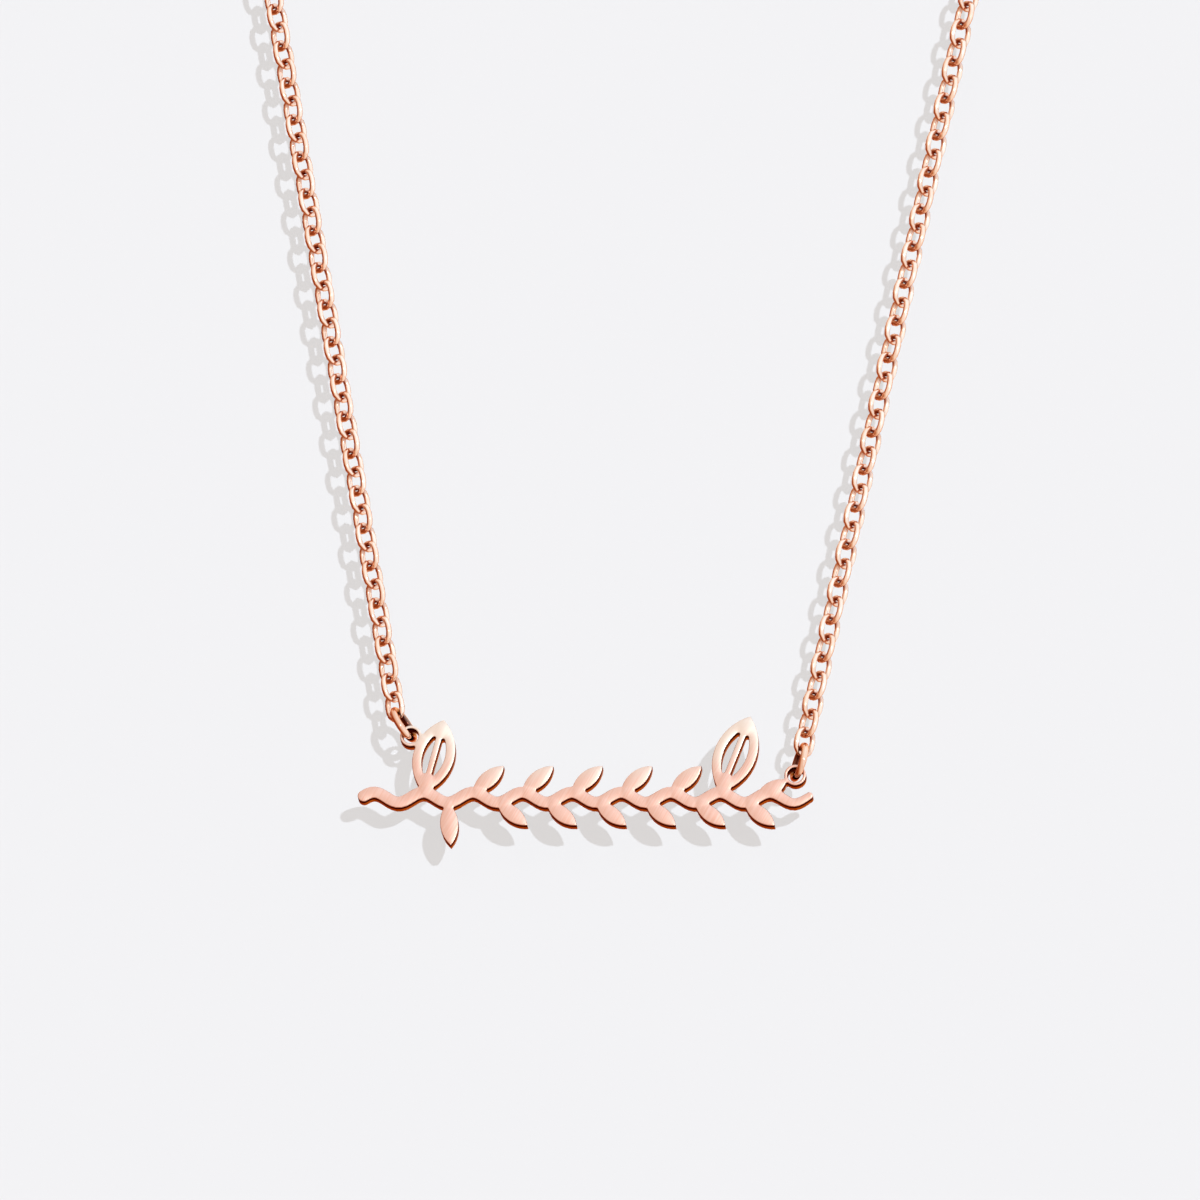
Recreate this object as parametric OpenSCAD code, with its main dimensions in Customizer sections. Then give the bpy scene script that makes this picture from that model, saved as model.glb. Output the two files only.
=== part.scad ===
// Necklace with a flat openwork plate hung between the two ends of a cable chain.
// Millimetres. Seen from the front, +X is to the right. -Y is the front and +Z up.
// The origin is at the nape, where the closed chain rests on the back of the neck.

/* [Plate] */
// Width of the plate from end to end
plate_w = 38.9; // [30:0.1:45]
// Thickness of the sheet that the plate is cut from
plate_t = 1.2; // [0.8:0.1:1.6]
// Width of the cut strokes
stroke_w = 1.0; // [0.8:0.05:1.3]
// Width of the rim of the open leaves
rim_w = 0.8; // [0.6:0.05:1]
// Width of the midrib of the open leaves
midrib_w = 0.5; // [0.4:0.05:0.7]
// Height that the two tall leaves reach above the plate's base line
peak_h = 8.2; // [6:0.1:11]
// Length of a small leaf
small_leaf = 3.5; // [2.8:0.1:4.2]
// Height of the middle of the stem above the base line
stem_h = 1.2; // [0.8:0.1:2]
// How far the stem swings to each side
stem_swing = 0.45; // [0.3:0.05:0.6]
// Radius of the small fillets where strokes meet
crotch_r = 0.15; // [0.05:0.05:0.3]
// How far the plate's middle lies left of the chain's middle plane
plate_shift = 1.3; // [0:0.1:3]

/* [Eyelets] */
// Bore of the two eyelets
eyelet_bore = 1.34; // [1.2:0.02:1.4]
// Width of the rim round each bore
eyelet_rim = 0.25; // [0.25:0.05:0.6]
// Metal left between a bore and the leaf that carries it
eyelet_seat = 0.15; // [0:0.05:0.2]

/* [Jump rings] */
// Outer diameter of a jump ring
ring_d = 3.5; // [3.2:0.1:4.2]
// Diameter of the jump rings' wire
ring_wire = 0.6; // [0.4:0.05:0.65]
// Lean of the left ring from upright
ring_lean_left = 30; // [8:1:32]
// Lean of the right ring from upright
ring_lean_right = 13; // [8:1:32]
// How far each ring is turned from edge-on
ring_turn = 18; // [0:1:20]
// How far below the middle of its bore a ring's wire passes through
ring_drop = 0.1; // [0:0.02:0.12]
// Room left between a jump ring and the first link on it
ring_gap = 0.22; // [0.2:0.01:0.26]

/* [Chain] */
// Diameter of the links' wire
wire = 0.45; // [0.38:0.01:0.5]
// Length of a link over all
link_l = 2.72; // [2.6:0.02:3]
// Width of a link over all
link_w = 2.15; // [2.1:0.05:2.3]
// How far each link is turned from the flat, to one side and the other in turn
link_turn = 45; // [40:1:50]
// Least clearance between one link and the next
link_gap = 0.1; // [0.1:0.01:0.2]

/* [Hang] */
// How far the front of the necklace leans back from upright
lean = 18.6; // [5:0.1:35]
// Straight length of the front, from the plate's base line up its slope
run_l = 74; // [60:1:90]

/* [Clasp] */
// Length of the clasp's barrel
clasp_l = 7; // [5:0.1:9]
// Diameter of the clasp's barrel
clasp_d = 2.6; // [2:0.1:3.5]
// Bore of the clasp's two eyes
clasp_eye_bore = 1.5; // [1.4:0.05:2]
// Diameter of the wire that the eyes are bent from
clasp_eye_wire = 0.5; // [0.4:0.05:0.6]

/* [Hidden] */
LEFT = -1;
RIGHT = 1;
ROSE_GOLD = "#e3a78c";

// The chain's way round the neck on the right side, from the top of the straight front run
// to the last bend before the clasp. The left side is its mirror image.
NECK_ROUTE = [[30, -88, -50], [41, -72, -32], [49, -49, -17.5], [46, -23, -7], [28, -5, -1.5]];
ROUTE_STEPS = 12; // straight steps between two of those points

// The stem runs between these shares of the plate's width, and rises to a crest once a wave.
STEM_FROM = -0.487;
STEM_TO = 0.487;
WAVE = 0.108;
CREST = -0.3565; // the first crest, where the tall left leaf grows
STEM_STEPS = 120;
TAIL_FROM = 0.40; // the stem thins from here to its tip
TAIL_TIP = 0.6; // width of the tip as a share of stroke_w

// The leaves, a row each. Places and lengths are shares of the plate's own sizes.
FOOT = 0; // foot on the stem, as a share of plate_w from the middle
REACH = 1; // length from foot to tip
SLANT = 2; // lean to the right from upright, in degrees
FULL = 3; // width, as a share of the leaf's own length
OPEN = 4; // 1 where the leaf is cut through on both sides of its midrib
LEAVES = [
  [CREST, 0.81 * peak_h, 14, 0.53, 1],
  [0.37, 0.88 * small_leaf, 58, 0.42, 0],
  [CREST + 6 * WAVE, 0.88 * peak_h, 20, 0.50, 1],
  for (k = [1:5]) [CREST + k * WAVE, small_leaf, 48, 0.40, 0],
  [CREST + 0.5 * WAVE, 1.1 * small_leaf, 175, 0.40, 0],
  for (k = [1.5:6.5]) [CREST + k * WAVE, 0.95 * small_leaf, 128, 0.40, 0],
];
TALL_LEFT = 0; // row of the leaf that carries the left eyelet on its side
LAST_RIGHT = 1; // row of the leaf that carries the right eyelet at its tip
EYELET_AT = 0.69; // share of the tall leaf's length at which the left eyelet sits

CURVE = 96; // segments of a full circle on round parts
LEAF_CURVE = 60; // and on the edges of the leaves
WIRE_CURVE = 24; // and round a wire
FILLET_CURVE = 24;

function unit(v) = v / norm(v);
function heading(slant) = [sin(slant), cos(slant)];
function left_of(v) = [-v.y, v.x];

// The stem's centreline, its direction and its half width, at a share s of the plate's width.
function stem_point(s) = [s * plate_w, stem_h + stem_swing * cos(360 * (s - CREST) / WAVE)];
function stem_dir(s) = unit(stem_point(s + 0.001) - stem_point(s - 0.001));
function stem_half(s) = stroke_w / 2 * (s < TAIL_FROM ? 1
  : 1 - (1 - TAIL_TIP) * (s - TAIL_FROM) / (STEM_TO - TAIL_FROM));

// A leaf's foot, length, width, heading and edge radius, from its row in the table.
function leaf_foot(row) = stem_point(LEAVES[row][FOOT]);
function leaf_l(row) = LEAVES[row][REACH];
function leaf_w(row) = LEAVES[row][FULL] * leaf_l(row);
function leaf_heading(row) = heading(LEAVES[row][SLANT]);
function lens_r(l, w) = (l * l + w * w) / (4 * w);

// Half the width of a leaf at a share f of its length.
function half_at(row, f) = let(l = leaf_l(row), w = leaf_w(row), r = lens_r(l, w))
  sqrt(r * r - pow((f - 0.5) * l, 2)) - (r - w / 2);

// The middles of the two eyelet bores on the plate.
eyelet_out = eyelet_bore / 2 + eyelet_seat;
eyelet_left = leaf_foot(TALL_LEFT) + leaf_heading(TALL_LEFT) * leaf_l(TALL_LEFT) * EYELET_AT
  + left_of(leaf_heading(TALL_LEFT)) * (half_at(TALL_LEFT, EYELET_AT) + eyelet_out);
eyelet_right = leaf_foot(LAST_RIGHT) + leaf_heading(LAST_RIGHT) * (leaf_l(LAST_RIGHT) + eyelet_out);
function eyelet(side) = side == LEFT ? eyelet_left : eyelet_right;

// The front's slope: across, up the slope and out of it, and the plate's base line on it.
SLOPE_UP = [0, sin(lean), cos(lean)];
SLOPE_OUT = [0, -cos(lean), sin(lean)];
base_line = [0, NECK_ROUTE[0].y, NECK_ROUTE[0].z] - run_l * SLOPE_UP;
function on_slope(p) = base_line + [p.x, 0, 0] + p.y * SLOPE_UP;

// The jump rings' middles, and where the chain pulls on them, in the slope's own plane.
ring_mean_r = (ring_d - ring_wire) / 2;
function ring_lean(side) = side == LEFT ? ring_lean_left : ring_lean_right;
function ring_dir(side) = heading(side * ring_lean(side));
function ring_mid(side) = eyelet(side) - [plate_shift, 0] + ring_dir(side) * (ring_mean_r - ring_drop);
function ring_top(side) = on_slope(ring_mid(side) + ring_dir(side) * ring_mean_r);

// The clasp's eyes, at the outermost point of their wire.
clasp_mid = [0, clasp_d / 2, 0];
eye_mean_r = (clasp_eye_bore + clasp_eye_wire) / 2;
eye_far = clasp_l / 2 + 2 * eye_mean_r;

// A smooth curve through the route's points, that leaves them along the given directions.
function mirrored(p, side) = [side * p.x, p.y, p.z];
function between(a, b, c, d, f) = 0.5 * (2 * b + (c - a) * f + (2 * a - 5 * b + 4 * c - d) * pow(f, 2)
  + (3 * b - a - 3 * c + d) * pow(f, 3));
function smooth(p, first, last) = let(n = len(p) - 1,
    before = p[1] - 2 * norm(p[1] - p[0]) * first,
    after = p[n - 1] + 2 * norm(p[n] - p[n - 1]) * last,
    q = concat([before], p, [after]))
  concat([for (i = [0:n - 1], k = [0:ROUTE_STEPS - 1])
      between(q[i], q[i + 1], q[i + 2], q[i + 3], k / ROUTE_STEPS)], [p[n]]);

// The spacing of the links, and how far a link's end wire lies past its share of the route.
pitch_max = link_l - 2 * wire - link_gap;
overhang = (link_l - wire - pitch_max) / 2;

// The whole route of one side: from its jump ring to the clasp's middle.
function neck_points(side) = [for (p = NECK_ROUTE) mirrored(p, side)];
function run_dir(side) = unit(neck_points(side)[0] - ring_top(side));
function eye_point(side) = clasp_mid + [side * eye_far, 0, 0];
function route(side) = concat(
  [ring_top(side) - run_dir(side) * ((ring_wire + wire) / 2 + ring_gap - overhang)],
  smooth(concat(neck_points(side), [eye_point(side)]), run_dir(side), [-side, 0, 0]),
  [clasp_mid]);

// Distance along a route up to each of its points, and the point at a distance.
function distances(p) = [for (i = 0, s = 0; i < len(p);
    i = i + 1, s = s + norm(p[min(i, len(p) - 1)] - p[i - 1])) s];
function column(s, p, axis) = [for (i = [0:len(p) - 1]) [s[i], p[i][axis]]];
function at(tables, s) = [for (t = tables) lookup(s, t)];

// One frame a link: its middle, its long direction and the direction it is turned from. Each
// frame is carried on from the one before it with no twist.
function link_ends(side) = let(p = route(side), s = distances(p),
    tables = [for (axis = [0:2]) column(s, p, axis)],
    last = s[len(s) - 2] + (clasp_eye_wire + wire) / 2 + link_gap - overhang,
    count = ceil(last / pitch_max))
  [for (i = [0:count]) at(tables, i * last / count)];
function link_frames(side) = let(e = link_ends(side), n = len(e) - 1)
  [for (i = 0, t = unit(e[1] - e[0]), out = SLOPE_OUT; i < n;
      i = i + 1, t = unit(e[min(i, n - 1) + 1] - e[min(i, n - 1)]), out = unit(out - (out * t) * t))
    [(e[i] + e[i + 1]) / 2, t, unit(out - (out * t) * t)]];
function turn_of(i, side) = (i % 2 == 0 ? side : -side) * link_turn;

// The turn about X at which an eye of the clasp crosses the chain's last link squarely.
function eye_turn(side) = let(f = link_frames(side), n = len(f),
    y = f[n - 1][1], z = f[n - 1][2],
    face = z * cos(turn_of(n, side)) + cross(y, z) * sin(turn_of(n, side)))
  atan2(face.z, face.y);

module place(frame, turn) {
  y = frame[1];
  z = frame[2];
  x = cross(y, z);
  p = frame[0];
  multmatrix([[x.x, y.x, z.x, p.x], [x.y, y.y, z.y, p.y], [x.z, y.z, z.z, p.z], [0, 0, 0, 1]])
    rotate([0, turn, 0]) children();
}

module ring(mean_r, wire_d) {
  rotate_extrude($fn = CURVE) translate([mean_r, 0]) circle(d = wire_d, $fn = WIRE_CURVE);
}

// A link with its long way along Y: two half rings and the straight wire between them.
module link() {
  straight = link_l - link_w;
  bend_r = (link_w - wire) / 2;
  for (end = [0, 180])
    rotate(end) {
      translate([0, straight / 2, 0])
        rotate_extrude(angle = 180, $fn = CURVE) translate([bend_r, 0]) circle(d = wire, $fn = WIRE_CURVE);
      translate([bend_r, straight / 2, 0])
        rotate([90, 0, 0]) cylinder(d = wire, h = straight, $fn = WIRE_CURVE);
    }
}

module chain(side) {
  frames = link_frames(side);
  color(ROSE_GOLD)
    for (i = [0:len(frames) - 1])
      place(frames[i], turn_of(i, side)) link();
}

module jump_ring(side) {
  mid = ring_mid(side);
  color(ROSE_GOLD)
    translate(on_slope(mid)) rotate([90 - lean, 0, 0])
      rotate(-side * ring_lean(side)) rotate([0, 90 + side * ring_turn, 0]) ring(ring_mean_r, ring_wire);
}

// A pointed oval from the origin along Y, drawn in by inset all round.
module lens(l, w, inset) {
  r = lens_r(l, w);
  intersection_for (side = [LEFT, RIGHT])
    translate([side * (r - w / 2), l / 2]) circle(r = r - inset, $fn = LEAF_CURVE);
}

module leaf(row) {
  l = leaf_l(row);
  w = leaf_w(row);
  translate(leaf_foot(row)) rotate(-LEAVES[row][SLANT])
    if (LEAVES[row][OPEN] == 1) {
      difference() {
        lens(l, w, 0);
        lens(l, w, rim_w);
      }
      translate([-midrib_w / 2, rim_w]) square([midrib_w, l - 2 * rim_w]);
    } else
      lens(l, w, 0);
}

module stem() {
  shares = [for (i = [0:STEM_STEPS]) STEM_FROM + (STEM_TO - STEM_FROM) * i / STEM_STEPS];
  upper = [for (s = shares) stem_point(s) + left_of(stem_dir(s)) * stem_half(s)];
  lower = [for (s = shares) stem_point(s) - left_of(stem_dir(s)) * stem_half(s)];
  polygon(concat(upper, [for (i = [STEM_STEPS:-1:0]) lower[i]]));
  for (s = [STEM_FROM, STEM_TO])
    translate(stem_point(s)) circle(r = stem_half(s), $fn = CURVE);
}

module plate_outline() {
  offset(r = -crotch_r, $fn = FILLET_CURVE)
    offset(delta = crotch_r) {
      stem();
      for (row = [0:len(LEAVES) - 1])
        leaf(row);
      for (side = [LEFT, RIGHT])
        translate(eyelet(side)) circle(d = eyelet_bore + 2 * eyelet_rim, $fn = CURVE);
    }
}

module nameplate() {
  color(ROSE_GOLD)
    translate(on_slope([-plate_shift, 0])) rotate([90 - lean, 0, 0])
      difference() {
        translate([0, 0, -plate_t / 2]) linear_extrude(plate_t) plate_outline();
        for (side = [LEFT, RIGHT])
          translate([eyelet(side).x, eyelet(side).y, 0])
            cylinder(d = eyelet_bore, h = 2 * plate_t, center = true, $fn = CURVE);
      }
}

// A plain barrel with rounded ends and an eye of wire at each, closed.
module clasp() {
  end_r = clasp_d / 4;
  color(ROSE_GOLD)
    translate(clasp_mid) {
      rotate([0, 90, 0])
        rotate_extrude($fn = CURVE) {
          translate([0, -clasp_l / 2]) square([clasp_d / 2 - end_r, clasp_l]);
          translate([0, -clasp_l / 2 + end_r]) square([clasp_d / 2, clasp_l - 2 * end_r]);
          for (end = [-1, 1])
            translate([clasp_d / 2 - end_r, end * (clasp_l / 2 - end_r)]) circle(r = end_r, $fn = CURVE);
        }
      for (side = [LEFT, RIGHT])
        translate([side * (eye_far - eye_mean_r), 0, 0]) rotate([eye_turn(side) - 90, 0, 0])
          ring(eye_mean_r, clasp_eye_wire);
    }
}

nameplate();
jump_ring(LEFT);  // jump_ring_left
jump_ring(RIGHT);  // jump_ring_right
chain(LEFT);  // chain_left
chain(RIGHT);  // chain_right
clasp();
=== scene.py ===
"""A nameplate necklace as worn, in Blender 4.5: plate, jump rings, cable chain and clasp round
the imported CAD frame. Lengths are in millimetres here, and in metres in Blender itself."""

import math

import bmesh
import bpy
import numpy as np
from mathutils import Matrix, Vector


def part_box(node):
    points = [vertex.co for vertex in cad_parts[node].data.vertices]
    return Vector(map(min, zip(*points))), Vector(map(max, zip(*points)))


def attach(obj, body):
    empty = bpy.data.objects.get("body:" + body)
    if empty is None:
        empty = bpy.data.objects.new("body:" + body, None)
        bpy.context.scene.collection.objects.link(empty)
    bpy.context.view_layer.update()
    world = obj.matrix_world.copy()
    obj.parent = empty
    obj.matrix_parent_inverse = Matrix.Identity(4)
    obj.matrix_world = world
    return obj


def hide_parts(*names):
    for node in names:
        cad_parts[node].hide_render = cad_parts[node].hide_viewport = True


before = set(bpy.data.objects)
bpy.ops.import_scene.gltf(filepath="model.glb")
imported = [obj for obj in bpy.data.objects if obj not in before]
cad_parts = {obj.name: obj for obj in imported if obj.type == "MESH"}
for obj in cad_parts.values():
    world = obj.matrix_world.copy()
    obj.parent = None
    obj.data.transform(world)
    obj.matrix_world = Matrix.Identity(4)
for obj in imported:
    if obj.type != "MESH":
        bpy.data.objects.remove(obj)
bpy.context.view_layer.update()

# The plate is one openwork piece cut from 1.2 mm sheet and plated rose gold. Its faces are
# brushed on the slant, and the cut edge is coppery with a dark line where the cut begins.
# It hangs on a slope, leaning back as the front of a worn necklace does.
MM = 0.001
PLATE_LEAN = math.radians(18.6)
ACROSS = np.array([1.0, 0.0, 0.0])
UP_SLOPE = np.array([0.0, math.sin(PLATE_LEAN), math.cos(PLATE_LEAN)])
OUT_OF_SLOPE = np.array([0.0, -math.cos(PLATE_LEAN), math.sin(PLATE_LEAN)])
RIM_ROUND = 0.07
RIM_STEPS = 3
SAME_POINT = 0.0002  # points nearer than this are one point
INSET_SLACK = 0.93  # share of its depth that an inset corner has to keep
NEARLY_FLAT = 0.99  # least cosine between a flat face and the plate's own direction


def edge_lines(node):
    """The closed lines round a flat plate's front face, each as the places of its corners in
    order, with metal on the left. They are the triangle sides of the front face that no second
    front triangle shares."""
    copy = bmesh.new()
    copy.from_mesh(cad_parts[node].data)
    bmesh.ops.remove_doubles(copy, verts=copy.verts, dist=SAME_POINT * MM)
    outward = Vector(OUT_OF_SLOPE)
    front = {face for face in copy.faces if face.normal.dot(outward) > NEARLY_FLAT}
    following = {
        corner.vert: corner.link_loop_next.vert
        for face in copy.faces
        for corner in face.loops
        if face in front and sum(near in front for near in corner.edge.link_faces) == 1
    }
    lines = []
    while following:
        vert, after = following.popitem()
        line = [vert.co[:]]
        while after in following:
            line.append(after.co[:])
            after = following.pop(after)
        lines.append(np.array(line) / MM)
    copy.free()
    return lines


def inset(line, outlines, depth):
    """The line moved into the metal by depth: each corner goes along the sum of its two sides'
    left normals, over one plus their product. A corner that then lies too near any outline, as
    beside a sharp tip, takes the place of the next corner along that doesn't."""
    ahead = np.roll(line, -1, 0) - line
    normal = np.stack([-ahead[:, 1], ahead[:, 0]], 1) / np.linalg.norm(ahead, axis=1)[:, None]
    before = np.roll(normal, 1, 0)
    along = (normal + before) / (1 + (normal * before).sum(1, keepdims=True))
    moved = line + depth * along
    start = np.concatenate(outlines)
    side = np.concatenate([np.roll(each, -1, 0) for each in outlines]) - start
    reach = moved[:, None] - start
    share = np.clip((reach * side).sum(2) / (side * side).sum(1), 0, 1)
    gap = np.linalg.norm(reach - share[..., None] * side, axis=2).min(1)
    good = np.flatnonzero(gap > INSET_SLACK * depth)
    steps = np.abs(np.arange(len(line))[:, None] - good)
    nearest = good[np.minimum(steps, len(line) - steps).argmin(1)]
    return moved[nearest]


def closed_grid_faces(rows, columns, copies=1):
    """Corner numbers of the squares of a grid that closes on itself both ways, and each
    corner's place on the unit square, for copies of the grid that follow one another. The last
    row of squares joins the last row of points to the first, and a surface with two ends
    leaves it out."""
    i, j = np.meshgrid(np.arange(rows), np.arange(columns), indexing="ij")
    corners = [(i, j), (i + 1, j), (i + 1, j + 1), (i, j + 1)]
    number = np.stack([a % rows * columns + b % columns for a, b in corners], -1)
    place = np.stack([np.stack([a / rows, b / columns], -1) for a, b in corners], -2)
    first = np.arange(copies)[:, None, None] * rows * columns
    return (number.reshape(1, -1, 4) + first).reshape(-1, 4), np.tile(place.reshape(-1, 2), (copies, 1))


def add_piece(name, points, faces, place=None, hidden=None):
    """A smooth piece from points in millimetres and faces of four corners each. place is each
    face corner's place along and round the wire, and hidden how far each point lies on the
    inside of a bend. Squares that have shrunk to a line or a triangle are cleaned away, and
    faces are turned outwards."""
    mesh = bpy.data.meshes.new(name)
    mesh.from_pydata((np.reshape(points, (-1, 3)) * MM).tolist(), [], faces.tolist())
    if place is not None:
        mesh.uv_layers.new(name="wire").data.foreach_set("uv", np.ravel(place).astype(np.float32))
    if hidden is not None:
        inside = mesh.attributes.new("inside of bend", "FLOAT", "POINT")
        inside.data.foreach_set("value", np.ravel(hidden).astype(np.float32))
    clean = bmesh.new()
    clean.from_mesh(mesh)
    bmesh.ops.remove_doubles(clean, verts=clean.verts, dist=SAME_POINT * MM)
    bmesh.ops.recalc_face_normals(clean, faces=clean.faces)
    clean.to_mesh(mesh)
    clean.free()
    mesh.polygons.foreach_set("use_smooth", np.ones(len(mesh.polygons), bool))
    piece = bpy.data.objects.new(name, mesh)
    bpy.context.scene.collection.objects.link(piece)
    return piece


outlines = edge_lines("nameplate")
plane_lines = [np.stack([line @ ACROSS, line @ UP_SLOPE], 1) for line in outlines]
front_level = np.concatenate(outlines).dot(OUT_OF_SLOPE).mean()
node_corners = np.array([v.co[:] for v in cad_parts["nameplate"].data.vertices]) / MM
sheet = front_level - (node_corners @ OUT_OF_SLOPE).min()
plate_foot = np.concatenate(plane_lines)[:, 1].min()

# The edge's profile: a quarter round at the front, the straight cut and a quarter round behind.
turn = np.linspace(0, math.pi / 2, RIM_STEPS + 1)
rim_in = RIM_ROUND * (1 - np.sin(turn))
rim_deep = RIM_ROUND * (1 - np.cos(turn))
profile = np.concatenate([np.stack([rim_in, rim_deep], 1), np.stack([rim_in, sheet - rim_deep], 1)[::-1]])
edge_rows = len(profile)

plate_points, plate_faces, started = [], [], 0
for line in plane_lines:
    rows = []
    for into, deep in profile:
        flat = inset(line, plane_lines, into) if into > SAME_POINT else line
        rows.append(flat[:, :1] * ACROSS + flat[:, 1:] * UP_SLOPE + (front_level - deep) * OUT_OF_SLOPE)
    strip, _ = closed_grid_faces(edge_rows, len(line))
    plate_points.append(np.concatenate(rows))
    plate_faces.append(strip[: (edge_rows - 1) * len(line)] + started)
    started += edge_rows * len(line)
plate = add_piece("plate", np.concatenate(plate_points), np.concatenate(plate_faces))

# The two flat faces close the edge strips in front and behind. The cut alone has a finish of
# its own.
body = bmesh.new()
body.from_mesh(plate.data)
open_sides = [side for side in body.edges if side.is_boundary]
middle_level = (front_level - sheet / 2) * MM
for is_front in (True, False):
    rim = [s for s in open_sides if (s.verts[0].co.dot(Vector(OUT_OF_SLOPE)) > middle_level) == is_front]
    bmesh.ops.triangle_fill(body, use_beauty=True, use_dissolve=False, edges=rim)
bmesh.ops.recalc_face_normals(body, faces=body.faces)
for face in body.faces:
    facing = abs(face.normal.dot(Vector(OUT_OF_SLOPE)))
    face.smooth = facing < NEARLY_FLAT
    face.material_index = 1 if facing < 1 - NEARLY_FLAT else 0
body.to_mesh(plate.data)
body.free()
plate.data.set_sharp_from_angle(angle=math.radians(40))


class Signal:
    """An output of a shader's node tree. Arithmetic on signals adds Math nodes to the tree."""

    def __init__(self, tree, socket=None):
        self.tree = tree
        self.socket = socket

    def add(self, kind, settings=None, inputs=None, output=0):
        """A new node: its settings are set first, then its sockets get values or links, and
        one of its outputs comes back as a signal."""
        node = self.tree.nodes.new(kind)
        for name, value in (settings or {}).items():
            setattr(node, name, value)
        for name, value in (inputs or {}).items():
            if isinstance(value, Signal):
                self.tree.links.new(value.socket, node.inputs[name])
            else:
                node.inputs[name].default_value = value
        return Signal(self.tree, node.outputs[output] if node.outputs else None)

    def math(self, operation, first, second=0.0):
        return self.add("ShaderNodeMath", {"operation": operation}, {0: first, 1: second})

    def __add__(self, other):
        return self.math("ADD", self, other)

    def __sub__(self, other):
        return self.math("SUBTRACT", self, other)

    def __rsub__(self, other):
        return self.math("SUBTRACT", other, self)

    def __mul__(self, other):
        return self.math("MULTIPLY", self, other)

    def __pow__(self, other):
        return self.math("POWER", self, other)

    __radd__ = __add__

    def between(self, low, high):
        """0 up to low, 1 from high on, and smooth in between."""
        ends = {"Value": self, "From Min": low, "From Max": high}
        return self.add("ShaderNodeMapRange", {"interpolation_type": "SMOOTHSTEP"}, ends)

    def blend(self, low, high):
        """The colour low where this signal is 0 and high where it is 1."""
        ends = {"Factor": self, "A": low, "B": high}
        return self.add("ShaderNodeMix", {"data_type": "RGBA"}, ends, output=2)


def colour(red, green, blue):
    """Linear values of a colour given as on a screen, 0 to 255."""
    share = np.array([red, green, blue]) / 255
    linear = np.where(share > 0.04045, ((share + 0.055) / 1.055) ** 2.4, share / 12.92)
    return (*linear.tolist(), 1.0)


def new_finish(name):
    """A material with its Principled shader, and a first signal to build on."""
    finish = bpy.data.materials.new(name)
    finish.use_nodes = True
    return finish, finish.node_tree.nodes["Principled BSDF"], Signal(finish.node_tree)


def link(signal, shader, name):
    signal.tree.links.new(signal.socket, shader.inputs[name])


def slope_places(start, turned=0.0):
    """Object coordinates in millimetres turned into the plate's slope: x across, y back
    through it and z up it, and then turned about y."""
    here = start.add("ShaderNodeTexCoord", output="Object")
    settled = start.add(
        "ShaderNodeMapping",
        inputs={"Vector": here, "Rotation": (PLATE_LEAN, 0, 0), "Scale": (1 / MM,) * 3},
    )
    return start.add("ShaderNodeMapping", inputs={"Vector": settled, "Rotation": (0, turned, 0)})


# The face is pink along the plate's foot and at its two ends, and creamier up its tall leaves,
# with fine brush lines that lean to the right. The cream up the leaves is a painted highlight,
# for the light that the upper face catches. The heights where it turns from pink to cream are
# in millimetres above the foot, for the middle of the plate. Clouds lower them by up to
# CLOUD_DROP, and towards the ends they rise with the square of the distance, a little more to
# the right.
PINK, SHEEN_CREAM, BRUSH_LINE = colour(222, 161, 135), colour(227, 194, 170), colour(235, 208, 190)
BRUSH_LEAN = math.radians(-28)
BRUSH_SCALE = (10.0, 1.0, 0.3)
PINK_UP_TO, SHEEN_FROM = 5.2, 9.2
END_RISE, RIGHT_RISE, CLOUD_DROP = 0.012, 0.04, 2.0

brushed, shader, start = new_finish("brushed rose gold")
stroke_way = slope_places(start, BRUSH_LEAN)
stretched = start.add("ShaderNodeMapping", inputs={"Vector": stroke_way, "Scale": BRUSH_SCALE})
streaks = start.add("ShaderNodeTexNoise", inputs={"Vector": stretched, "Scale": 1.0, "Detail": 3.0})
clouds = start.add("ShaderNodeTexNoise", inputs={"Vector": stroke_way, "Scale": 0.22, "Detail": 1.0})
place = slope_places(start)
height = start.add("ShaderNodeSeparateXYZ", inputs={"Vector": place}, output="Z") - plate_foot
across = start.add("ShaderNodeSeparateXYZ", inputs={"Vector": place}, output="X")
level = height + clouds * CLOUD_DROP - across * across * END_RISE - across * RIGHT_RISE
# The blend to the lighter cream is a painted highlight, not the metal's own colour.
tone = level.between(PINK_UP_TO, SHEEN_FROM).blend(PINK, SHEEN_CREAM)
lined = (streaks.between(0.3, 0.7) * 0.25).blend(tone, BRUSH_LINE)
link(lined, shader, "Base Color")
link(streaks * 0.16 + 0.27, shader, "Roughness")
scratched = start.add("ShaderNodeBump", inputs={"Strength": 0.3, "Distance": 0.004 * MM, "Height": streaks})
link(scratched, shader, "Normal")
shader.inputs["Metallic"].default_value = 1.0

# The cut is nearly black next to the front edge and turns copper brown about the middle of the
# sheet. It stays brown where it is seen at a slant.
CUT_DARK, CUT_BROWN, CUT_SLANT = colour(44, 15, 7), colour(200, 116, 76), colour(220, 154, 114)
DARK_TO, BROWN_FROM = 0.45, 0.8

cut_edge, shader, start = new_finish("cut edge")
place = slope_places(start)
depth = start.add("ShaderNodeSeparateXYZ", inputs={"Vector": place}, output="Y") + front_level
grain = start.add("ShaderNodeTexNoise", inputs={"Vector": place, "Scale": 3.0, "Detail": 2.0})
brown = (depth + grain * 0.1).between(DARK_TO, BROWN_FROM)
link(brown.blend(CUT_DARK, CUT_BROWN), shader, "Base Color")
link(0.42 - brown * 0.1, shader, "Roughness")
shader.inputs["Metallic"].default_value = 1.0
shader.inputs["Specular Tint"].default_value = CUT_SLANT

plate.data.materials.append(brushed)
plate.data.materials.append(cut_edge)
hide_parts("nameplate")
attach(plate, "root")

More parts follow.
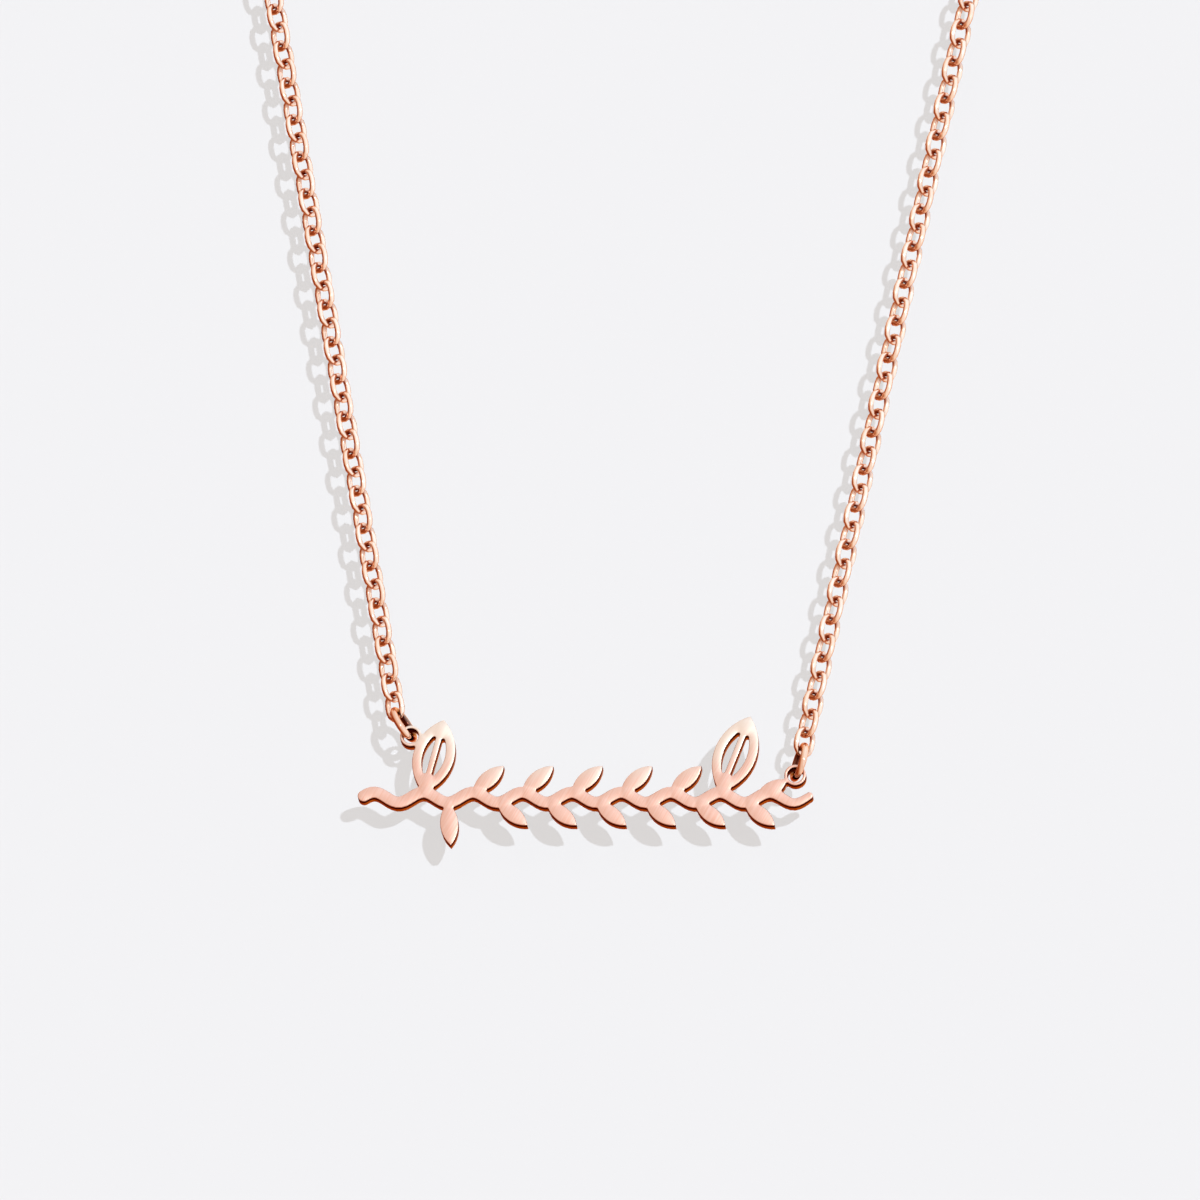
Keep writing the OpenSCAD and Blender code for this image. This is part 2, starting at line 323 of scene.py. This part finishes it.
# Two closed rings of 0.6 mm wire, one through each eyelet, turned nearly edge-on to the front.
# Each carries the first link of its chain at its upper end.
RING_OUTER, RING_WIRE = 3.5, 0.6
RING_MEAN_R = (RING_OUTER - RING_WIRE) / 2
RING_LEAN = {"left": math.radians(-30), "right": math.radians(13)}
RING_TURN = {"left": math.radians(18), "right": math.radians(-18)}
RING_ROWS, RING_COLUMNS = 72, 24
WIRE_SLANT = colour(255, 190, 150)
WIRE_CLOUDS = 0.42 / MM
DRAWN_SCALE = (3.0, 40.0, 1.0)


def polished(name, tones, bend_shade_tone, rough):
    """Polished plated wire: a little cloudy in tone, with faint drawing lines along it, a
    darker brown painted shade on the inside of a bend, a little rougher there, and still warm at a slant."""
    finish, shader, start = new_finish(name)
    here = start.add("ShaderNodeTexCoord", output="Object")
    clouds = start.add("ShaderNodeTexNoise", inputs={"Vector": here, "Scale": WIRE_CLOUDS, "Detail": 2.0})
    along = start.add("ShaderNodeTexCoord", output="UV")
    lines = start.add("ShaderNodeMapping", inputs={"Vector": along, "Scale": DRAWN_SCALE})
    drawn = start.add("ShaderNodeTexNoise", inputs={"Vector": lines, "Scale": 1.0, "Detail": 2.0})
    inside = start.add("ShaderNodeAttribute", {"attribute_name": "inside of bend"}, output="Fac")
    open_tone = clouds.between(0.35, 0.65).blend(tones[0], tones[1])
    # The darker brown on the inside of a bend is painted shade, where the wire turns in towards the link.
    link((inside**0.6).blend(open_tone, bend_shade_tone), shader, "Base Color")
    link(clouds * 0.06 + drawn * 0.06 + inside * 0.1 + (rough - 0.06), shader, "Roughness")
    marks = start.add("ShaderNodeBump", inputs={"Strength": 0.15, "Distance": 0.002 * MM, "Height": drawn})
    link(marks, shader, "Normal")
    shader.inputs["Metallic"].default_value = 1.0
    shader.inputs["Specular Tint"].default_value = WIRE_SLANT
    return finish


def ring_points(mean_r, wire_r, rows, columns):
    """A ring of round wire about Z: the middle line goes round at mean_r, and the wire's
    surface goes round that at wire_r. With it, how far each point lies on the inside of the
    ring: less the cosine round the wire, where that is above 0."""
    round_it = np.arange(rows) * 2 * math.pi / rows
    about = np.arange(columns) * 2 * math.pi / columns
    radius = mean_r + wire_r * np.cos(about)
    height = np.broadcast_to(wire_r * np.sin(about), (rows, columns))
    inside = np.broadcast_to(np.maximum(-np.cos(about), 0), (rows, columns))
    return np.stack(
        [np.outer(np.cos(round_it), radius), np.outer(np.sin(round_it), radius), height], -1
    ), inside


ring_tones = (colour(230, 172, 140), colour(237, 189, 158))
ring_gold = polished("polished rose gold, rings", ring_tones, bend_shade_tone=colour(80, 24, 10), rough=0.08)
one_ring, inside = ring_points(RING_MEAN_R, RING_WIRE / 2, RING_ROWS, RING_COLUMNS)
ring_faces, ring_places = closed_grid_faces(RING_ROWS, RING_COLUMNS)
ring_tops = {}
for side, ring_lean in RING_LEAN.items():
    low, high = (np.array(corner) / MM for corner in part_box(f"jump_ring_{side}"))
    middle = (low + high) / 2
    long_way = math.sin(ring_lean) * ACROSS + math.cos(ring_lean) * UP_SLOPE
    wide_way = math.cos(ring_lean) * ACROSS - math.sin(ring_lean) * UP_SLOPE
    axis = math.cos(RING_TURN[side]) * wide_way + math.sin(RING_TURN[side]) * OUT_OF_SLOPE
    turned = one_ring @ np.stack([np.cross(long_way, axis), long_way, axis])
    ring = add_piece(f"ring_{side}", middle + turned, ring_faces, ring_places, inside)
    ring.data.materials.append(ring_gold)
    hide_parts(f"jump_ring_{side}")
    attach(ring, "root")
    ring_tops[side] = middle + RING_MEAN_R * long_way

# A fine cable chain in two halves: closed oval links of 0.45 mm wire, each turned a quarter
# turn from the one before. Each half leaves its jump ring, runs straight up the front and then
# goes round the neck to the clasp.
LINK_LENGTH, LINK_WIDTH, LINK_WIRE = 2.72, 2.15, 0.45
LINK_TURN = math.radians(45)
LINK_ROOM, RING_ROOM = 0.1, 0.22
BEND_STEPS, WIRE_SIDES = 6, 6
NECK_ROUTE = np.array([[30, -88, -50], [41, -72, -32], [49, -49, -17.5], [46, -23, -7], [28, -5, -1.5]])
ROUTE_STEPS = 12
CLASP_LENGTH, CLASP_WIDTH = 7.0, 2.6
CLASP_EYE_BORE, CLASP_EYE_WIRE = 1.5, 0.5
EYE_MEAN_R = (CLASP_EYE_BORE + CLASP_EYE_WIRE) / 2
CLASP_MIDDLE = np.array([0.0, CLASP_WIDTH / 2, 0.0])
EYE_FAR = CLASP_LENGTH / 2 + 2 * EYE_MEAN_R


def unit(v):
    return v / np.linalg.norm(v)


def link_points():
    """A link's surface with its long way along Y: two half circles joined by straight wire,
    and the wire's surface about that line, of n sides. With a = 2 pi / n, its corners lie
    sqrt(a / sin a) times the wire's radius out, so that its section is as large as the round
    wire's. With it, how far each point lies on the inside of a bend: less the cosine round
    the wire, where that is above 0, times the sine of the bend."""
    bend = np.linspace(0, math.pi, BEND_STEPS + 1)
    angle = np.concatenate([bend, bend + math.pi])
    ends = np.repeat([1, -1], BEND_STEPS + 1) * (LINK_LENGTH - LINK_WIDTH) / 2
    side = 2 * math.pi / WIRE_SIDES
    about = np.arange(WIRE_SIDES) * side
    corner_r = LINK_WIRE / 2 * math.sqrt(side / math.sin(side))
    radius = (LINK_WIDTH - LINK_WIRE) / 2 + corner_r * np.cos(about)
    height = np.broadcast_to(corner_r * np.sin(about), (len(angle), WIRE_SIDES))
    inside = np.outer(np.abs(np.sin(angle)), np.maximum(-np.cos(about), 0))
    return np.stack(
        [np.outer(np.cos(angle), radius), np.outer(np.sin(angle), radius) + ends[:, None], height], -1
    ), inside


def smooth_route(points, first, last):
    """A curve through the points that leaves the first and reaches the last along the given
    ways: between two points it is the Catmull-Rom cubic of those two and their neighbours."""
    before = points[1] - 2 * np.linalg.norm(points[1] - points[0]) * first
    after = points[-2] + 2 * np.linalg.norm(points[-1] - points[-2]) * last
    padded = np.concatenate([[before], points, [after]])
    a, b, c, d = (padded[k : k + len(points) - 1, None] for k in range(4))
    share = (np.arange(ROUTE_STEPS) / ROUTE_STEPS)[None, :, None]
    curve = 2 * b + (c - a) * share + (2 * a - 5 * b + 4 * c - d) * share**2
    curve = curve + (3 * b - a - 3 * c + d) * share**3
    return np.concatenate([curve.reshape(-1, 3) / 2, points[-1:]])


def link_places(side):
    """Each link's middle, and its width, length and thickness ways as rows, for one half."""
    hand = {"left": -1, "right": 1}[side]
    top = ring_tops[side]
    route = np.concatenate([NECK_ROUTE * [hand, 1, 1], [CLASP_MIDDLE + [hand * EYE_FAR, 0, 0]]])
    away = unit(route[0] - top)
    longest = LINK_LENGTH - 2 * LINK_WIRE - LINK_ROOM
    beyond = (LINK_LENGTH - LINK_WIRE - longest) / 2
    start = top - away * ((RING_WIRE + LINK_WIRE) / 2 + RING_ROOM - beyond)
    curve = smooth_route(route, away, np.array([-hand, 0, 0]))
    line = np.concatenate([[start], curve, [CLASP_MIDDLE]])
    run = np.concatenate([[0], np.cumsum(np.linalg.norm(np.diff(line, axis=0), axis=1))])
    last = run[-2] + (CLASP_EYE_WIRE + LINK_WIRE) / 2 + LINK_ROOM - beyond
    count = math.ceil(last / longest)
    ends = np.stack([np.interp(np.arange(count + 1) * last / count, run, line[:, k]) for k in range(3)], 1)
    ways = [unit(step) for step in np.diff(ends, axis=0)]
    flat, frames = OUT_OF_SLOPE, []
    for number, way in enumerate(ways):
        flat = unit(flat - flat.dot(way) * way)
        turned = LINK_TURN * hand * (-1) ** number
        wide = math.cos(turned) * np.cross(way, flat) - math.sin(turned) * flat
        frames.append([wide, way, np.cross(wide, way)])
    return (ends[:-1] + ends[1:]) / 2, np.array(frames)


chain_tones = (colour(242, 195, 165), colour(248, 208, 182))
chain_gold = polished("polished rose gold, chain", chain_tones, bend_shade_tone=colour(160, 76, 38), rough=0.1)
one_link, inside = link_points()
last_links = {}
for side in ("left", "right"):
    middles, frames = link_places(side)
    placed = np.einsum("ijk,nkl->nijl", one_link, frames) + middles[:, None, None]
    chain_faces, chain_places = closed_grid_faces(*one_link.shape[:2], len(middles))
    chain = add_piece(
        f"links_{side}", placed, chain_faces, chain_places, np.tile(inside, (len(middles), 1, 1))
    )
    chain.data.materials.append(chain_gold)
    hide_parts(f"chain_{side}")
    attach(chain, "root")
    last_links[side] = frames[-1]

# A plain turned barrel with rounded ends at the nape, and an eye of 0.5 mm wire at each end
# that crosses the last link squarely. It stands in for whatever closes the real chain.
BARREL_COLUMNS = 96
SHOULDER_STEPS = 8
EYE_ROWS, EYE_COLUMNS = 48, 16


def barrel_points():
    """A barrel about X: straight between two shoulders that are quarter circles of a quarter
    of its width, flat at the ends, and turned about the axis."""
    shoulder = CLASP_WIDTH / 4
    bend = np.linspace(0, math.pi / 2, SHOULDER_STEPS + 1)
    radius = np.concatenate([[0], CLASP_WIDTH / 2 - shoulder + shoulder * np.sin(bend)])
    along = np.concatenate([[0], shoulder * (1 - np.cos(bend))]) - CLASP_LENGTH / 2
    radius, along = np.concatenate([radius, radius[::-1]]), np.concatenate([along, -along[::-1]])
    about = np.arange(BARREL_COLUMNS) * 2 * math.pi / BARREL_COLUMNS
    wide = np.broadcast_to(along[:, None], (len(along), BARREL_COLUMNS))
    return np.stack([wide, np.outer(radius, np.cos(about)), np.outer(radius, np.sin(about))], -1)


clasp_tones = (colour(236, 180, 150), colour(242, 196, 168))
clasp_gold = polished("polished rose gold, clasp", clasp_tones, bend_shade_tone=clasp_tones[0], rough=0.16)
barrel = barrel_points()
faces, places = closed_grid_faces(barrel.shape[0], BARREL_COLUMNS)
face_count = (barrel.shape[0] - 1) * BARREL_COLUMNS
clasp_points, clasp_faces = [barrel.reshape(-1, 3)], [faces[:face_count]]
clasp_places = [places[: 4 * face_count]]
eye, _ = ring_points(EYE_MEAN_R, CLASP_EYE_WIRE / 2, EYE_ROWS, EYE_COLUMNS)
eye_faces, eye_places = closed_grid_faces(EYE_ROWS, EYE_COLUMNS)
for side, hand in (("left", -1), ("right", 1)):
    through = last_links[side][2]
    squarely = unit(np.cross([hand, 0, 0], unit(through * [0, 1, 1])))
    ways = np.stack([np.cross(squarely, ACROSS), ACROSS, squarely])
    clasp_faces.append(eye_faces + sum(map(len, clasp_points)))
    clasp_places.append(eye_places)
    clasp_points.append((eye @ ways + [hand * (EYE_FAR - EYE_MEAN_R), 0, 0]).reshape(-1, 3))
clasp = add_piece(
    "barrel_clasp",
    np.concatenate(clasp_points) + CLASP_MIDDLE,
    np.concatenate(clasp_faces),
    np.concatenate(clasp_places),
)
clasp.data.set_sharp_from_angle(angle=math.radians(50))
clasp.data.materials.append(clasp_gold)
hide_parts("clasp")
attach(clasp, "root")

# The studio is pale all round. Below is a floor, and close behind the front of the necklace a
# card that its shadows fall on. Each is clear from behind, so that it hides nothing from there.
FLOOR_LEVEL, FLOOR_R, FLOOR_CORNERS = -190.0, 1300.0, 128
CARD_GAP = 4.0
CARD_HALF, CARD_BELOW, CARD_ABOVE = 62.0, 34.0, 78.6
PALE = (0.896, 0.896, 0.913, 1.0)
FLOOR_TONE = (0.95, 0.96, 0.99, 1.0)
CARD_TONE = (0.686, 0.685, 0.697, 1.0)


def flat_piece(name, corners, tone):
    """A flat matt piece of the studio through the given corners. Its front is on the side from
    which they go round anticlockwise, and it is clear from behind."""
    mesh = bpy.data.meshes.new(name)
    mesh.from_pydata((np.array(corners) * MM).tolist(), [], [tuple(range(len(corners)))])
    piece = bpy.data.objects.new(name, mesh)
    bpy.context.scene.collection.objects.link(piece)
    finish, shader, start = new_finish(f"matt {name}")
    link(1 - start.add("ShaderNodeNewGeometry", output="Backfacing"), shader, "Alpha")
    shader.inputs["Base Color"].default_value = tone
    shader.inputs["Roughness"].default_value = 0.9
    shader.inputs["Specular IOR Level"].default_value = 0.1
    mesh.materials.append(finish)
    piece.visible_diffuse = False
    piece.visible_glossy = False
    return piece


around = np.arange(FLOOR_CORNERS) * 2 * math.pi / FLOOR_CORNERS
floor_level = np.full(FLOOR_CORNERS, FLOOR_LEVEL)
floor_corners = np.stack([FLOOR_R * np.cos(around), FLOOR_R * np.sin(around), floor_level], 1)
flat_piece("floor", floor_corners, FLOOR_TONE)

card_middle = plate_foot * UP_SLOPE + (front_level - sheet / 2 - CARD_GAP) * OUT_OF_SLOPE
card_corners = [
    card_middle + x * ACROSS + up * UP_SLOPE
    for x, up in (
        (-CARD_HALF, -CARD_BELOW),
        (CARD_HALF, -CARD_BELOW),
        (CARD_HALF, CARD_ABOVE),
        (-CARD_HALF, CARD_ABOVE),
    )
]
card = flat_piece("card", card_corners, CARD_TONE)
card.visible_shadow = False

# What the metal mirrors: walls that brighten in four steps, from dark low on the left to
# brightest high on the right in front, with a dim backdrop behind the front of the necklace.
# The darker a wall is, the warmer its light. The camera itself sees the pale tone all round.
# Each step begins and ends at the first two numbers, along the way in which the walls
# brighten, and adds the third.
WALL_STEPS = ((-0.7, -0.55, 0.1), (-0.5, -0.3, 0.5), (-0.2, 0.0, 0.6), (0.35, 0.55, 0.65))
DARKEST, BACKDROP = 0.03, 0.3
WARMTH = {"Red": 0.3, "Green": 0.72, "Blue": 1.08}

world = bpy.data.worlds.new("studio")
bpy.context.scene.world = world
world.use_nodes = True
world.cycles_visibility.diffuse = False
sky = Signal(world.node_tree)
way = sky.add("ShaderNodeTexCoord", output="Generated")
right, back, up = (sky.add("ShaderNodeSeparateXYZ", inputs={"Vector": way}, output=axis) for axis in "XYZ")
lit = right * 0.75 - back * 0.2 + up * 0.5
backdrop = back.between(0.3, 0.6) * (1 - up.between(-0.5, -0.3))
walls = sum(lit.between(begin, end) * more for begin, end, more in WALL_STEPS)
glow = walls + backdrop * BACKDROP + DARKEST
shades = {channel: glow**power for channel, power in WARMTH.items()}
warm = sky.add("ShaderNodeCombineColor", inputs=shades)
scattered = sky.add("ShaderNodeLightPath", output="Diffuse Depth").between(0, 1)
mirrored = sky.add("ShaderNodeBackground", inputs={"Color": warm, "Strength": 1 - scattered})
seen = sky.add("ShaderNodeBackground", inputs={"Color": PALE, "Strength": 1.0})
direct = sky.add("ShaderNodeLightPath", output="Is Camera Ray")
mixed = sky.add("ShaderNodeMixShader", inputs={"Fac": direct, 1: mirrored, 2: seen})
world.node_tree.links.new(mixed.socket, world.node_tree.nodes["World Output"].inputs["Surface"])

# Two lights from far off, so that floor and card are lit evenly. The key from the right throws
# the shadows down to the left, and the warmer fill throws none. Their powers are in watts per
# square metre.
KEY_WAY = 1.624 * ACROSS + 4.0 * OUT_OF_SLOPE + 0.363 * UP_SLOPE
FILL_WAY = np.array([-0.2, -0.7, 0.7])


def far_light(name, way, spread, power, tone):
    """A light from far off in the way given, as wide across as the spread, in degrees."""
    lamp = bpy.data.lights.new(name, "SUN")
    lamp.angle, lamp.energy, lamp.color = math.radians(spread), power, tone
    light = bpy.data.objects.new(name, lamp)
    light.rotation_euler = Vector(way).to_track_quat("Z", "Y").to_euler()
    bpy.context.scene.collection.objects.link(light)
    return light


far_light("key", KEY_WAY, spread=1.2, power=1.15, tone=(0.82, 0.91, 1.0))
fill = far_light("fill", FILL_WAY, spread=30, power=3.68, tone=(1.0, 0.968, 0.94))
fill.data.use_shadow = False
fill.visible_glossy = False

# The camera stands level and a little to the right, far off with a long lens.
AIM = np.array([-0.57, -105.5, -102.1])
CAMERA_SWING = math.radians(4)
CAMERA_DISTANCE = 1600.0
camera_lens = bpy.data.cameras.new("camera")
camera_lens.sensor_width = 36.0
camera_lens.lens = 564.0
camera_lens.clip_end = 20.0
camera = bpy.data.objects.new("camera", camera_lens)
from_aim = CAMERA_DISTANCE * np.array([math.sin(CAMERA_SWING), -math.cos(CAMERA_SWING), 0])
camera.location = (AIM + from_aim) * MM
camera.rotation_euler = (math.pi / 2, 0, CAMERA_SWING)
bpy.context.scene.collection.objects.link(camera)
bpy.context.scene.camera = camera
bpy.context.scene.view_settings.view_transform = "Standard"
